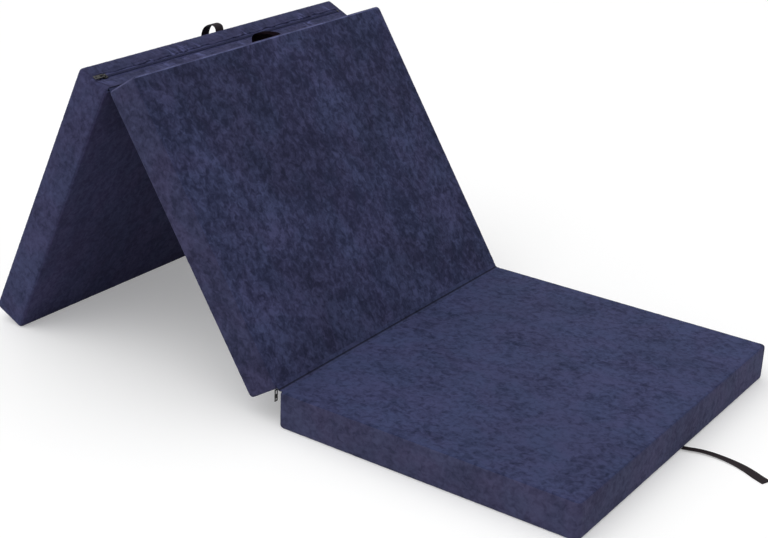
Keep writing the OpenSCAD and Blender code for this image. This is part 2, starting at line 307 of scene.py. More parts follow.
def moved(points: Points, place: Matrix) -> Points:
    """The points of a panel's frame in the part's frame."""
    m = np.array(place)
    return points @ m[:3, :3].T + m[:3, 3]


def strip_faces(count: int, around: int, closed: bool = True) -> Faces:
    """Faces between rings of points.

    Args:
        count: Number of rings.
        around: Points of each ring.
        closed: Whether the rings close on themselves.

    Returns:
        The faces.
    """
    faces: Faces = []
    for i in range(0, (count - 1) * around, around):
        for j in range(around if closed else around - 1):
            a, b = i + j, i + (j + 1) % around
            faces.append((a, b, b + around, a + around))
    return faces


def tube_faces(count: int, around: int) -> Faces:
    """Faces of a closed tube: the strips between its rings, and the two ends."""
    size = count * around
    return [*strip_faces(count, around), tuple(range(around))[::-1], tuple(range(size - around, size))]


def lines(length: float, near: Sequence[float], step: float) -> Points:
    """Grid lines from 0 to length: near each end at the given distances, and evenly between.

    Args:
        length: The whole length.
        near: Distances from an end, rising from 0.
        step: Largest distance between the even lines.

    Returns:
        The places of the lines.
    """
    inner = length - 2 * near[-1]
    n = max(1, math.ceil(inner / step))
    even = [near[-1] + inner * i / n for i in range(1, n)]
    return np.array([*near, *even, *(length - x for x in reversed(near))])


def smooth_route(knots: Points, step: float) -> Points:
    """A smooth line through knots, with evenly spaced points.

    Args:
        knots: Points that the line passes.
        step: Distance between the new points.

    Returns:
        The new points.
    """
    padded = np.vstack([2 * knots[0] - knots[1], knots, 2 * knots[-1] - knots[-2]])
    t = np.linspace(0, 1, 24, endpoint=False)[:, None]
    parts = []
    for a, b, c, d in zip(padded[:-3], padded[1:-2], padded[2:-1], padded[3:]):
        bend = 2 * a - 5 * b + 4 * c - d
        parts.append(0.5 * (2 * b + (c - a) * t + bend * t**2 + (3 * b - a - 3 * c + d) * t**3))
    line = np.vstack([*parts, knots[-1:]])
    return spaced(line, max(2, round(run_of(line)[-1] / step) + 1))


def spaced(line: Points, count: int) -> Points:
    """Evenly spaced points on a line.

    Args:
        line: Points of the line.
        count: Number of the new points.

    Returns:
        The new points.
    """
    run = run_of(line)
    at = np.linspace(0, run[-1], count)
    return np.stack([np.interp(at, run, line[:, k]) for k in range(3)], 1)


def run_of(line: Points) -> Points:
    """Length along a line at each of its points."""
    return np.concatenate([[0], np.cumsum(np.linalg.norm(np.diff(line, axis=0), axis=1))])


def ease(x: Points, low: float, high: float) -> Points:
    """0 below low, 1 above high, and a smooth rise between."""
    t = np.clip((x - low) / (high - low), 0, 1)
    return t * t * (3 - 2 * t)


def hump(x: Points, reach: float) -> Points:
    """1 where x is 0, a third of that where x is at reach, and next to nothing beyond."""
    return np.exp(-((x / reach) ** 2))


class Ripple:
    """A repeatable sum of waves, for the small unevenness of cloth."""

    def __init__(self, seed: int, shortest: float, longest: float, count: int = 14) -> None:
        """Draws the waves.

        Args:
            seed: Seed of the draw.
            shortest: Shortest wavelength in metres.
            longest: Longest wavelength in metres.
            count: Number of waves.
        """
        draw = np.random.default_rng(seed)
        length = np.exp(draw.uniform(math.log(shortest), math.log(longest), count))
        angle = draw.uniform(0, math.tau, count)
        self.wave = (math.tau / length)[:, None] * np.stack([np.cos(angle), np.sin(angle)], 1)
        self.phase = draw.uniform(0, math.tau, count)

    def at(self, plane: Points) -> Points:
        """Height of the sum at points of a plane, mostly between -1 and 1."""
        return np.sin(plane @ self.wave.T + self.phase).sum(1) / math.sqrt(2 * len(self.phase))


@dataclass
class CoverShape:
    """The outer surface of one panel's cover."""

    sizes: PanelSizes
    zip: ZipSizes
    number: int
    place: Matrix
    flat_base: bool
    zipped: bool = True
    slow: Ripple = field(init=False)
    pucker: Ripple = field(init=False)
    pleats: Ripple = field(init=False)
    wander: Ripple = field(init=False)

    def __post_init__(self) -> None:
        """Draws the panel's own unevenness."""
        self.slow = Ripple(10 + self.number, 0.09, 0.30)
        self.pucker = Ripple(20 + self.number, 0.012, 0.036)
        self.pleats = Ripple(30 + self.number, 0.013, 0.036, 20)
        self.wander = Ripple(50 + self.number, 0.022, 0.075)

    def at(self, block: Points) -> Points:
        """Points of the cover for points on the faces of a plain block.

        Args:
            block: Points on the surface of the block that encloses the panel.

        Returns:
            The same points on the soft surface, in the panel's frame.
        """
        place, w, out, side_n, normal = self.rounded(block)
        s = self.sizes
        u, y, middle = block[:, 0], block[:, 1], s.thickness / 2
        upper = np.where(block[:, 2] > middle, 1.0, -1.0)

        swell = np.clip(1 - ((w - middle) / (middle - s.edge_r)) ** 2, 0, 1)
        along_u = np.clip(1 - (2 * u / s.length - 1) ** 2, 0, 1)
        along_y = np.clip(1 - (2 * y / s.width) ** 2, 0, 1)
        zip_share = np.clip((np.abs(w - middle) - self.zip.opening / 2) / self.zip.lip_width, 0, 1)
        lobes = np.where(place[:, 0] < s.length / 2, swell * zip_share, swell)
        on_side = side_n > 0
        place[:, 0] += np.where(on_side, out[:, 0] * s.end_bulge * lobes * along_y, 0)
        place[:, 1] += np.where(on_side, out[:, 1] * s.side_bulge * swell * along_u, 0)

        x = np.clip((u - s.length / 2) / (s.length / 2 - s.edge_r), -1, 1)
        v = np.clip(y / (s.width / 2 - s.edge_r), -1, 1)
        rise = (1 - np.abs(x) ** 3) * (1 - np.abs(v) ** 3)
        change = s.crown_change * (np.clip(self.slow.at(block[:, :2]), -1, 1) - 1)
        height = s.crown * rise * (1 + change)
        if self.flat_base:
            height = np.where(upper > 0, height, 0)
        on_face = (block[:, 2] <= 0) | (block[:, 2] >= s.thickness)
        w = w + np.where(on_face, upper * height, 0)

        if self.zipped:
            w = w + self.lip_sway(block)
        points = np.stack([place[:, 0], place[:, 1], w], 1)
        return self.on_floor(points - normal * self.drawn_in(block, on_face)[:, None])

    def lip_sway(self, block: Points) -> Points:
        """How far the cloth beside the zip wanders across it, where the stitches gather it.

        Args:
            block: Points on the surface of the block.

        Returns:
            A distance for each point, in metres.
        """
        z, from_zip = self.zip, block[:, 2] - self.sizes.thickness / 2
        side = np.sign(from_zip)
        at_zip = (block[:, 0] <= 0) & (np.abs(block[:, 1]) < z.half - 4 * MM)
        near = hump(np.abs(from_zip) - z.opening / 2, z.sway_reach)
        wander = self.wander.at(np.stack([block[:, 1], 40 * side * self.sizes.edge_r], 1))
        return np.where(at_zip, z.sway * near * side * np.clip(0.35 + 0.8 * wander, 0, 1.1), 0)

    def rounded(self, block: Points) -> tuple[Points, Points, Points, Points, Points]:
        """Rounds the block's edges and corners.

        Args:
            block: Points on the surface of the block.

        Returns:
            Place in plan, height, direction outwards in plan, how much of the normal points
            outwards, and the normal.
        """
        s = self.sizes
        u, y, w = block.T
        inset, below = self.inset(block), np.minimum(w, s.thickness - w)
        upper = np.where(w > s.thickness / 2, 1.0, -1.0)
        side, face = np.clip(s.edge_r - inset, 0, None), np.clip(s.edge_r - below, 0, None)
        both = (side > 0) & (face > 0)
        norm, widest = np.where(both, np.hypot(side, face), 1.0), np.maximum(side, face)
        side_n = np.where(both, side / norm, (side > 0) * 1.0)
        face_n = np.where(both, face / norm, (face > 0) * 1.0)
        inset = np.where(both, s.edge_r - side_n * widest, inset)
        below = np.where(both, s.edge_r - face_n * widest, below)
        half = s.width / 2 - s.corner_r
        core = np.stack([np.clip(u, s.corner_r, s.length - s.corner_r), np.clip(y, -half, half)], 1)
        out = block[:, :2] - core
        reach = np.linalg.norm(out, axis=1)
        out = out / np.where(reach > 0, reach, 1)[:, None]
        radius = np.where(reach > 0, s.corner_r - inset, 0)
        height = np.where(upper > 0, s.thickness - below, below)
        normal = np.stack([out[:, 0] * side_n, out[:, 1] * side_n, upper * face_n], 1)
        return core + out * radius[:, None], height, out, side_n, normal

    def drawn_in(self, block: Points, on_face: Points) -> Points:
        """How far the thread draws the cloth in, at the seams and along the zip's stitches.

        Args:
            block: Points on the surface of the block.
            on_face: Which of them are on a large face.

        Returns:
            A depth for each point, in metres.
        """
        s, z = self.sizes, self.zip
        u, y, w = block.T
        seam = np.where(on_face, self.inset(block), np.minimum(w, s.thickness - w))
        crease = self.pucker.at(np.stack([u + y, y - u], 1))
        depth = s.seam_depth * hump(seam, s.seam_reach) * (1 + s.pucker * crease)
        depth += s.seam_depth * s.pucker * crease * hump(seam, s.pucker_reach)
        if self.zipped:
            from_zip = np.abs(w - s.thickness / 2)
            from_lip = from_zip - z.opening / 2
            slant = self.pleats.at(np.stack([y + 0.9 * w, 0.35 * w], 1))
            tuck = z.tuck * (1 + 0.5 * crease) * hump(from_zip - z.stitch_out, z.tuck_reach)
            wave = z.wave * (1 + np.clip(crease, -1, 1)) * hump(from_lip, z.wave_reach)
            pleat = z.pleat * (1 + np.clip(1.3 * slant, -1, 1)) * ease(seam, 0.0, s.edge_r)
            pleat *= hump(np.clip(from_lip, 0, None), z.pleat_reach)
            at_zip = (u <= 0) & (np.abs(y) < z.half + 8 * MM)
            depth += np.where(at_zip, tuck + wave + pleat, 0)
        return depth

    def inset(self, block: Points) -> Points:
        """Distance of each point from the nearest side of the block."""
        ends = np.minimum(block[:, 0], self.sizes.length - block[:, 0])
        return np.minimum(ends, self.sizes.width / 2 - np.abs(block[:, 1]))

    def on_floor(self, points: Points) -> Points:
        """Presses what would sink into the floor flat against it.

        Args:
            points: Points in the panel's frame.

        Returns:
            The pressed points, in the same frame.
        """
        m = np.array(self.place)
        world = moved(points, self.place)
        world[:, 2] = np.maximum(world[:, 2], 0.05 * MM)
        return (world - m[:3, 3]) @ m[:3, :3]


@dataclass(frozen=True)
class BlockGrid:
    """Grid lines on a block's faces, and the faces between them."""

    us: Points
    ys: Points
    ws: Points

    def face(self, w: float) -> Mesh:
        """The block's top or base.

        Args:
            w: Its height.

        Returns:
            Its points and faces.
        """
        u, y = np.meshgrid(self.us, self.ys, indexing="ij")
        faces = strip_faces(len(self.us), len(self.ys), closed=False)
        return np.stack([u.ravel(), y.ravel(), np.full(u.size, w)], 1), flipped(faces) if w > 0 else faces

    def plan(self) -> Points:
        """One loop around the block's sides.

        Returns:
            Its points in plan.
        """
        us, ys = self.us, self.ys
        right, left = ys[0], ys[-1]
        return np.array(
            [(u, right) for u in us[:-1]] + [(us[-1], y) for y in ys[:-1]]
            + [(u, left) for u in us[:0:-1]] + [(us[0], y) for y in ys[:0:-1]]
        )

    def band(self) -> Mesh:
        """The block's four sides.

        Returns:
            Their points and faces.
        """
        plan = self.plan()
        loops = [np.column_stack([plan, np.full(len(plan), w)]) for w in self.ws]
        return np.vstack(loops), strip_faces(len(self.ws), len(plan))


# Finishes


class Nodes:
    """A short way to build a node tree."""

    def __init__(self, tree: bpy.types.NodeTree) -> None:
        """Keeps the tree."""
        self.tree = tree

    def feed(self, node: bpy.types.Node, inputs: dict[str | int, object]) -> None:
        """Gives a node's inputs their values, or the sockets that feed them.

        Args:
            node: The node.
            inputs: For each input, a value or the socket that feeds it.
        """
        for name, value in inputs.items():
            if isinstance(value, bpy.types.NodeSocket):
                self.tree.links.new(value, node.inputs[name])
            else:
                node.inputs[name].default_value = value

    def add(self, kind: str, inputs: dict[str | int, object] | None = None,
            **settings: object) -> bpy.types.Node:
        """Adds a node.

        Args:
            kind: The node's type, without the leading ShaderNode.
            inputs: For each input, a value or the socket that feeds it.
            settings: Properties of the node.

        Returns:
            The node.
        """
        node = self.tree.nodes.new(kind if kind.startswith("NodeGroup") else f"ShaderNode{kind}")
        for name, value in settings.items():
            setattr(node, name, value)
        self.feed(node, inputs or {})
        return node

    def group(self, tree: bpy.types.NodeTree, inputs: dict[str | int, object]) -> Sockets:
        """The outputs of a node group that is placed here."""
        return self.add("Group", inputs, node_tree=tree).outputs

    def math(self, operation: str, *values: object) -> bpy.types.NodeSocket:
        """The result of a Math node on two or three numbers or sockets."""
        return self.add("Math", dict(enumerate(values)), operation=operation).outputs[0]

    def product(self, first: object, *more: object) -> bpy.types.NodeSocket:
        """Numbers or sockets multiplied.

        Args:
            first: The first of them.
            more: The others.

        Returns:
            The product.
        """
        for value in more:
            first = self.math("MULTIPLY", first, value)
        return first

    def parts(self, vector: object) -> Sockets:
        """The three parts of a vector."""
        return self.add("SeparateXYZ", {0: vector}).outputs

    def noise(self, vector: object, scale: float, detail: float = 2, rough: float = 0.5,
              warp: float = 0.0) -> bpy.types.NodeSocket:
        """The value of a Noise texture."""
        inputs = {"Vector": vector, "Scale": scale, "Detail": detail, "Roughness": rough, "Distortion": warp}
        return self.add("TexNoise", inputs).outputs[0]

    def between(self, value: object, low: object, high: object, to_low: float = 0.0,
                to_high: float = 1.0) -> bpy.types.NodeSocket:
        """A value brought from the range low to high into another range, smoothly."""
        inputs = {0: value, 1: low, 2: high, 3: to_low, 4: to_high}
        return self.add("MapRange", inputs, interpolation_type="SMOOTHSTEP").outputs[0]

    def blend(self, share: object, first: object, second: object, mode: str = "MIX") -> bpy.types.NodeSocket:
        """Two colours mixed."""
        inputs = {0: share, 6: opaque(first), 7: opaque(second)}
        return self.add("Mix", inputs, data_type="RGBA", blend_type=mode).outputs[2]

    def bump(self, height: object, strength: float, distance: float) -> bpy.types.NodeSocket:
        """The normal of a surface raised by a height."""
        return self.add("Bump", {"Height": height, "Strength": strength, "Distance": distance}).outputs[0]


def opaque(colour: object) -> object:
    """A colour with its alpha. A socket stays as it is."""
    return (*colour, 1.0) if isinstance(colour, tuple) else colour


def grey(level: float) -> Colour:
    """A grey as a colour."""
    return (level, level, level)


def group(name: str, inputs: dict[str, float | Colour],
          outputs: Sequence[str]) -> tuple[Nodes, Sockets, bpy.types.Node]:
    """Starts a shader node group with named sockets.

    Args:
        name: Name of the group.
        inputs: For each input, its value at the start, a number or a vector.
        outputs: Names of the outputs, which are all numbers.

    Returns:
        The tree's builder, the sockets of its inputs and its output node.
    """
    tree = bpy.data.node_groups.new(name, "ShaderNodeTree")
    for label, value in inputs.items():
        kind = "Float" if isinstance(value, float) else "Vector"
        socket = tree.interface.new_socket(label, in_out="INPUT", socket_type=f"NodeSocket{kind}")
        socket.default_value = value
    for label in outputs:
        tree.interface.new_socket(label, in_out="OUTPUT", socket_type="NodeSocketFloat")
    n = Nodes(tree)
    return n, n.add("NodeGroupInput").outputs, n.add("NodeGroupOutput")


# Layers of the crushed nap: scale, detail, warp, and share of the whole
NAP_LAYERS = ((84, 2.0, 0.7, 0.44), (36, 2.0, 0.6, 0.18), (11, 2.0, 0.5, 0.24), (230, 1.5, 0.0, 0.14))
ORIGIN = (0.0, 0.0, 0.0)


def crushed_nap() -> bpy.types.NodeTree:
    """Builds the group for crushed velour: curdled flecks of nap that lean one way or another.

    Returns:
        The group, which puts out a tone from 0, dark, to 1, light, a slow drift of hue, broad zones of
        nap that lie alike, and a height.
    """
    n, get, put = group("crushed_nap", {"Vector": ORIGIN, "Stretch": 1.1, "Low": 0.3, "High": 0.7},
                        ("Tone", "Hue", "Zones", "Height"))
    vector = get["Vector"]
    x, y, z = n.parts(vector)
    squeezed = n.product(x, n.math("DIVIDE", 1.0, get["Stretch"]))
    along = n.add("CombineXYZ", {0: squeezed, 1: y, 2: z}).outputs[0]
    level = 0.0
    for scale, detail, warp, share in NAP_LAYERS:
        level = n.math("MULTIPLY_ADD", n.noise(along, scale, detail, 0.55, warp), share, level)
    tone = n.between(level, get["Low"], get["High"])
    fibres = n.noise(vector, 1900, 2, 0.6)
    n.feed(put, {
        "Tone": tone,
        "Hue": n.between(n.noise(vector, 13, 2, 0.5, 0.4), 0.35, 0.65),
        "Zones": n.between(n.noise(vector, 4.6, 2, 0.5, 0.5), 0.36, 0.64),
        "Height": n.math("ADD", n.product(tone, 0.7), n.product(fibres, 0.3)),
    })
    return n.tree


def painted_edge_highlight() -> bpy.types.NodeTree:
    """Builds the group for a painted highlight along the edges of a block, where the rounded seams catch the
    light.

    Returns:
        The group, which puts out 1 along the edges of a block of the given size and 0 away from them,
        and the same for the edges of its far end alone.
    """
    n, get, put = group("painted_edge_highlight", {"Vector": ORIGIN, "Size": (1.0, 1.0, 1.0), "Reach": 0.004},
                        ("Mask", "Far End"))
    vector = get["Vector"]
    x, y, z = n.parts(vector)
    length, width, height = n.parts(get["Size"])
    to_far = n.math("SUBTRACT", length, x)
    from_end = n.math("MINIMUM", x, to_far)
    from_side = n.math("SUBTRACT", n.product(width, 0.5), n.math("ABSOLUTE", y))
    from_face = n.math("MINIMUM", z, n.math("SUBTRACT", height, z))
    nearer, farther = (n.math(o, from_end, from_side) for o in ("MINIMUM", "MAXIMUM"))
    from_edge = n.math("MAXIMUM", nearer, n.math("MINIMUM", farther, from_face))
    from_far_edge = n.math("MAXIMUM", to_far, n.math("MINIMUM", from_side, from_face))
    uneven = n.between(n.noise(vector, 90, 3, 0.6), 0.3, 0.7, 0.45, 1.0)
    patchy = n.between(n.noise(vector, 26, 2, 0.6), 0.36, 0.64, 0.42, 1.0)
    rounding, far_reach, far_rounding = 0.0018, 0.0055, 0.0030
    n.feed(put, {
        "Mask": n.product(n.between(from_edge, get["Reach"], rounding), uneven),
        "Far End": n.product(n.between(from_far_edge, far_reach, far_rounding), patchy),
    })
    return n.tree


def zip_crease_highlights() -> bpy.types.NodeTree:
    """Builds the group for a painted highlight on slanting creases beside a panel's zip, where the nap's
    sheen on their ridges catches the light.

    Returns:
        The group, which puts out 1 on the ridge of each crease and 0 between them and away from the zip.
    """
    n, get, put = group("zip_crease_highlights", {"Vector": ORIGIN, "Middle": 0.038}, ("Mask",))
    vector = get["Vector"]
    x, y, z = n.parts(vector)
    slant, close, slow = -0.6, 62.0, 14.0
    across = n.product(n.math("MULTIPLY_ADD", z, slant, y), close)
    plane = n.add("CombineXYZ", {0: across, 1: n.product(z, slow)}).outputs[0]
    ridges = n.between(n.noise(plane, 1.0, 2, 0.5, 0.8), 0.52, 0.66)
    patches = n.between(n.noise(vector, 7, 1.5, 0.5), 0.44, 0.60)
    off = n.math("ABSOLUTE", n.math("SUBTRACT", z, get["Middle"]))
    on_end, near_zip = n.between(x, 0.006, 0.003), n.between(off, 0.036, 0.012)
    n.feed(put, {"Mask": n.product(ridges, patches, n.product(on_end, near_zip))})
    return n.tree


def woven() -> bpy.types.NodeTree:
    """Builds the group for a plain weave seen in the piece's own coordinates.

    Returns:
        The group, which puts out the threads' height.
    """
    n, get, put = group("woven", {"Vector": ORIGIN, "Threads": 900.0}, ("Height",))
    x, y, z = (n.math("SINE", n.product(part, get["Threads"], math.tau)) for part in n.parts(get["Vector"]))
    crossed = n.math("ADD", n.product(x, y), n.product(y, z))
    threads = n.math("MULTIPLY_ADD", crossed, 0.25, 0.5)
    fuzz = n.noise(get["Vector"], 2600, 2, 0.6)
    n.feed(put, {"Height": n.math("ADD", n.product(threads, 0.75), n.product(fuzz, 0.25))})
    return n.tree


def material(name: str) -> tuple[bpy.types.Material, Nodes, bpy.types.Node, bpy.types.NodeSocket]:
    """Starts a material.

    Args:
        name: Name of the material.

    Returns:
        The material, its tree's builder, its Principled BSDF and the piece's own coordinates.
    """
    made = bpy.data.materials.new(name)
    made.use_nodes = True
    n = Nodes(made.node_tree)
    shader = made.node_tree.nodes["Principled BSDF"]
    return made, n, shader, n.add("TexCoord").outputs["Object"]


@dataclass(frozen=True)
class VelourGroups:
    """The node groups that every velour uses."""

    nap: bpy.types.NodeTree
    edge_highlight: bpy.types.NodeTree
    crease_highlights: bpy.types.NodeTree


@dataclass(frozen=True)
class Velour:
    """Crushed navy velour.

    Low and high set how much of the nap leans away and towards. Three settings set how strongly painted
    highlights show: along all edges and, more, along the edges of the far end, where the rounded seams catch
    the light, and on the ridges of the creases beside a zip, where the nap's sheen catches the light. Zones
    sets how far broad areas differ. Two colours say how much lighter than the light nap these painted
    highlights are, on the edges and on the creases.
    """

    dark: Colour
    light: Colour
    low: float = 0.30
    high: float = 0.60
    violet: Colour = (1.05, 0.98, 1.0)
    blue: Colour = (0.96, 1.01, 1.01)
    # How strongly the painted highlights show: along the edges, along the far end's edges and on the creases
    edge_highlight: float = 0.07
    far_end_highlight: float = 0.0
    crease_highlight: float = 0.0
    zones: float = 0.05
    # How much lighter than the light nap the painted highlights are, on the edges and on the creases
    wear_and_highlight: Colour = (2.65, 2.6, 2.35)
    lit: Colour = (1.9, 1.9, 1.9)
    sheen: float = 0.07
    sheen_spread: float = 0.45
    sheen_tint: Colour = (0.35, 0.42, 0.85)
    gloss: float = 0.12

    def lighter(self, times: Colour) -> Colour:
        """The light nap's colour, times a factor for each of its parts."""
        return tuple(k * c for k, c in zip(times, self.light))

    def make(self, name: str, groups: VelourGroups, shift: Colour) -> bpy.types.Material:
        """Makes the material.

        Args:
            name: Name of the material.
            groups: The node groups that it uses.
            shift: Where in the pattern the piece lies.

        Returns:
            The material.
        """
        made, n, shader, own = material(name)
        s = PanelSizes()
        place = n.add("Mapping", {"Vector": own, "Location": shift}).outputs[0]
        nap = n.group(groups.nap, {"Vector": place, "Low": self.low, "High": self.high})
        edge_highlight = n.group(groups.edge_highlight, {"Vector": own, "Size": (s.length, s.width, s.thickness)})
        colour = n.blend(nap["Tone"], self.dark, self.light)
        cast = n.blend(nap["Hue"], self.violet, self.blue)
        zones = n.blend(nap["Zones"], grey(1 - self.zones), grey(1 + self.zones))
        for tint in (cast, zones):
            colour = n.blend(1.0, colour, tint, "MULTIPLY")
        # Painted highlight: lighter nap along all edges, and more along the edges of the far end, where the
        # rounded seams catch the light
        far_end = n.product(edge_highlight["Far End"], self.far_end_highlight)
        highlight_and_wear_share = n.math("MAXIMUM", n.product(edge_highlight["Mask"], self.edge_highlight), far_end)
        colour = n.blend(highlight_and_wear_share, colour, self.lighter(self.wear_and_highlight))
        # Painted highlight on the ridges of the creases beside the zip, where the nap's sheen catches the
        # light
        if self.crease_highlight > 0:
            crease_highlights = n.group(groups.crease_highlights, {"Vector": own})
            colour = n.blend(n.product(crease_highlights["Mask"], self.crease_highlight), colour, self.lighter(self.lit))
        n.feed(shader, {
            "Base Color": colour,
            "Normal": n.bump(nap["Height"], strength=0.35, distance=0.0009),
            "Roughness": n.between(nap["Tone"], 0.0, 1.0, 0.92, 0.8),
            "Sheen Weight": self.sheen,
            "Sheen Roughness": self.sheen_spread,
            "Sheen Tint": opaque(self.sheen_tint),
            "Specular IOR Level": self.gloss,
        })
        return made


@dataclass(frozen=True)
class Webbing:
    """Woven polyester webbing or tape."""

    dark: Colour = (0.007, 0.006, 0.008)
    light: Colour = (0.041, 0.0285, 0.0325)
    roughness: float = 0.66
    gloss: float = 0.1
    threads: float = 640.0

    def make(self, name: str, weave: bpy.types.NodeTree) -> bpy.types.Material:
        """Makes the material.

        Args:
            name: Name of the material.
            weave: The weave's group.

        Returns:
            The material.
        """
        made, n, shader, own = material(name)
        height = n.group(weave, {"Vector": own, "Threads": self.threads})["Height"]
        wear_and_highlight = n.noise(own, 160, 3, 0.6)
        # The threads are darker where they sink in the weave, a painted shade between them; the noise adds
        # uneven wear
        tone = n.product(height, n.between(wear_and_highlight, 0.3, 0.75, 0.55, 1.0))
        n.feed(shader, {
            "Base Color": n.blend(tone, self.dark, self.light),
            "Normal": n.bump(height, strength=0.5, distance=0.0004),
            "Roughness": n.between(wear_and_highlight, 0.3, 0.7, self.roughness - 0.08, self.roughness + 0.08),
            "Specular IOR Level": self.gloss,
        })
        return made


@dataclass(frozen=True)
class Foam:
    """Open-celled polyurethane foam."""

    colour: Colour = (0.72, 0.66, 0.48)
    pores: Colour = (0.46, 0.40, 0.27)

    def make(self, name: str) -> bpy.types.Material:
        """Makes the material.

        Args:
            name: Name of the material.

        Returns:
            The material.
        """
        made, n, shader, own = material(name)
        cells = n.add("TexVoronoi", {"Vector": own, "Scale": 620.0}).outputs["Distance"]
        patch = n.between(n.noise(own, 22, 3, 0.55), 0.2, 0.8, 0.6, 1.0)
        n.feed(shader, {
            # The pores are darker, a painted shade inside the cells; the slow noise varies it at random
            "Base Color": n.blend(n.product(n.between(cells, 0.55, 0.1), patch), self.colour, self.pores),
            "Normal": n.bump(cells, strength=0.6, distance=0.0006),
            "Roughness": 0.95,
        })
        return made


@dataclass(frozen=True)
class ZipMetal:
    """Dark plated zinc, with bright wear where it rubs."""

    plated: Colour = (0.085, 0.085, 0.09)
    bright: Colour = (0.27, 0.265, 0.25)

    def make(self, name: str) -> bpy.types.Material:
        """Makes the material.

        Args:
            name: Name of the material.

        Returns:
            The material.
        """
        made, n, shader, own = material(name)
        highlight_and_wear_share = n.between(n.noise(own, 420, 3, 0.6), 0.52, 0.72)
        edge = n.between(n.add("NewGeometry").outputs["Pointiness"], 0.54, 0.66)
        grain = n.noise(own, 2400, 2, 0.55)
        wear = n.math("MAXIMUM", n.product(highlight_and_wear_share, 0.35), n.product(edge, 0.8))
        n.feed(shader, {
            "Base Color": n.blend(wear, self.plated, self.bright),
            "Roughness": n.between(grain, 0.2, 0.8, 0.34, 0.54),
            "Normal": n.bump(grain, strength=0.12, distance=0.0001),
            "Metallic": 1.0,
        })
        return made


class Finishes:
    """All the materials of the mattress."""

    def __init__(self) -> None:
        """Builds the groups and the materials."""
        groups, weave = VelourGroups(crushed_nap(), painted_edge_highlight(), zip_crease_highlights()), woven()
        # One velour in a copy for each panel's faces and band, at levels that stand for painted light and
        # shade: panel 2's face is darker, as painted shade; the bands are lighter and greyer, as the nap's
        # painted sheen on the sides; panel 3's face, which lies in shade, has the least contrast
        faces = {
            1: Velour((0.013, 0.016, 0.043), (0.0435, 0.0515, 0.122)),
            2: Velour((0.016, 0.018, 0.046), (0.056, 0.063, 0.142), 0.38, 0.68, zones=0.13, far_end_highlight=0.8),
            3: Velour((0.024, 0.0235, 0.060), (0.050, 0.049, 0.116), 0.34, 0.70),
        }
        bands = {
            1: Velour((0.022, 0.0225, 0.052), (0.054, 0.055, 0.114), 0.28, 0.66, crease_highlight=0.5),
            2: Velour((0.0165, 0.017, 0.042), (0.051, 0.052, 0.114), 0.32, 0.68, far_end_highlight=0.4, crease_highlight=0.5),
            3: Velour((0.018, 0.019, 0.048), (0.049, 0.053, 0.120), 0.30, 0.66, crease_highlight=1.0),
        }
        shifts = {k: (3.1 * k, 1.7 * k, 0.4 * k) for k in faces}
        self.velour = {k: v.make(f"velour_{k}", groups, shifts[k]) for k, v in faces.items()}
        self.velour_side = {k: v.make(f"velour_side_{k}", groups, shifts[k]) for k, v in bands.items()}
        fold = Velour((0.013, 0.015, 0.040), (0.040, 0.047, 0.110), edge_highlight=0.0)
        # A far darker copy for the bottom of each fold: painted shade
        crease = Velour((0.005, 0.006, 0.016), (0.012, 0.014, 0.034), edge_highlight=0.0)
        at_fold = (0.2, 5.0, 0.1)
        self.fold, self.crease = (
            v.make(f"velour_{name}", groups, at_fold) for name, v in (("fold", fold), ("crease", crease))
        )
        # The loop's webbing is a near-black copy of the straps' webbing: painted shade on the loop
        loop = Webbing((0.004, 0.0024, 0.004), (0.013, 0.008, 0.011), gloss=0.0)
        # The zip's tape and teeth are navy like the velour, and lighter than it: painted light that makes up
        # for the shade between the lips
        tape = Webbing((0.034, 0.037, 0.088), (0.078, 0.084, 0.190), gloss=0.04, threads=900.0)
        teeth = Webbing((0.020, 0.022, 0.054), (0.044, 0.048, 0.112), 0.65, 0.06, 2000.0)
        thread = Webbing((0.02, 0.022, 0.05), (0.07, 0.078, 0.16), 0.6, threads=3000.0)
        self.webbing = Webbing().make("webbing", weave)
        self.loop = loop.make("loop_webbing_painted_shade", weave)
        self.tape = tape.make("zip_tape", weave)
        self.teeth = teeth.make("zip_teeth", weave)
        self.thread = thread.make("thread", weave)
        plated = ZipMetal().make("zip_metal")
        # Panel 3's zip metal is a darker copy of the same plated zinc: painted shade
        shaded_plated = ZipMetal((0.036, 0.036, 0.039), (0.095, 0.093, 0.09)).make("zip_metal_painted_shade")
        self.metal = {1: plated, 2: plated, 3: shaded_plated}
        self.foam = Foam().make("foam")


# Panels

# Grid lines near an edge, and near a seam of the band
NEAR_EDGE = tuple(x * MM for x in (0, 1.2, 3, 6, 10, 14))
NEAR_SEAM = tuple(x * MM for x in (0, 1.2, 3, 6, 11, 16, 21, 23.4, 25, 26.6, 28.8, 31))
# How far the cloth turns in around the zip: towards the middle and into the panel, in millimetres
LIP = ((0.5, 0.2), (0.95, 0.8), (1.15, 1.9), (1.1, 3.3))
# A distance small enough to count as none
NEARLY = 0.1 * MM


